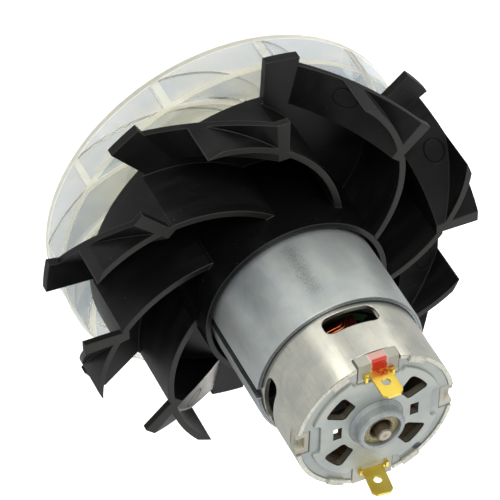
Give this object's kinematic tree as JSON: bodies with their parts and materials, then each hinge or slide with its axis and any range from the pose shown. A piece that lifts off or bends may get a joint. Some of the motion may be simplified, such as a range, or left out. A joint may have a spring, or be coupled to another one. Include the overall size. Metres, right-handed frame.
{
  "type": "vacuum cleaner motor unit",
  "caption": "Vacuum cleaner motor unit: a brushed motor in a zinc can and flux ring drives a clear backward-curved impeller in front of a black diffuser with ramps and curved vanes.",
  "frame": {"origin": "on the motor axis in the plane of the impeller's inlet lip", "axes": "+Z along the motor axis from the inlet lip to the terminals, +X through the side notches of the can, +Y through the negative terminal"},
  "size_m": [0.0964, 0.0964, 0.0884],
  "materials": {
    "can_zinc": "bright zinc plating with fine drawing marks",
    "ring_zinc": "bluish zinc plating",
    "end_plate_zinc": "matte zinc plating",
    "nylon": "translucent natural nylon",
    "terminal_brass": "plain brass",
    "spring_bronze": "phosphor bronze strip",
    "carbon": "pressed carbon",
    "sintered_bronze": "oil-soaked sintered bronze",
    "ferrite": "fired ferrite",
    "spring_steel": "plain spring steel",
    "lamination_steel": "stacked silicon steel",
    "insulator_green": "green moulded insulator",
    "copper_wire": "enamelled copper wire",
    "phenolic": "dark phenolic",
    "commutator_copper": "bare copper",
    "washer_fibre": "laminated washer",
    "shaft_steel": "ground steel",
    "insert_brass": "turned brass",
    "clear_plastic": "clear injection-moulded plastic",
    "black_plastic": "black injection-moulded plastic",
    "screw_steel": "zinc plated screw"
  },
  "bodies": {
    "stator": {"motor_can": "can_zinc", "flux_ring": "ring_zinc", "end_plate": "end_plate_zinc", "brush_carrier": "nylon", "terminal_positive": "terminal_brass", "terminal_negative": "terminal_brass", "rear_bearing": "sintered_bronze", "front_bearing": "sintered_bronze", "field_magnet_north": "ferrite", "field_magnet_south": "ferrite", "magnet_clips": "spring_steel", "diffuser": "black_plastic", "diffuser_screws": "screw_steel"},
    "rotor": {"motor_shaft": "shaft_steel", "armature_core": "lamination_steel", "core_insulator_front": "insulator_green", "core_insulator_rear": "insulator_green", "winding_1": "copper_wire", "winding_2": "copper_wire", "winding_3": "copper_wire", "commutator_hub": "phenolic", "commutator_bars": "commutator_copper", "thrust_washers": "washer_fibre", "shaft_spacer": "terminal_brass", "impeller_bush": "insert_brass", "impeller_plate": "clear_plastic", "impeller_shroud": "clear_plastic"},
    "positive_brush": {"brush_arm_positive": "spring_bronze", "brush_positive": "carbon"},
    "negative_brush": {"brush_arm_negative": "spring_bronze", "brush_negative": "carbon"}
  },
  "joints": [
    {"name": "rotor_spin", "type": "hinge", "parent": "stator", "child": "rotor", "pos_m": [0, 0, 0.05], "axis": [0, 0, 1], "continuous": true},
    {"name": "positive_brush_swing", "type": "hinge", "parent": "stator", "child": "positive_brush", "pos_m": [0.0044, -0.0138, 0.07475], "axis": [0, 0, -1], "range_deg": [0, 4], "stiffness_Nm_per_rad": 0.01, "springref_deg": -8.59},
    {"name": "negative_brush_swing", "type": "hinge", "parent": "stator", "child": "negative_brush", "pos_m": [-0.0044, 0.0138, 0.07475], "axis": [0, 0, -1], "range_deg": [0, 4], "stiffness_Nm_per_rad": 0.01, "springref_deg": -8.59}
  ]
}
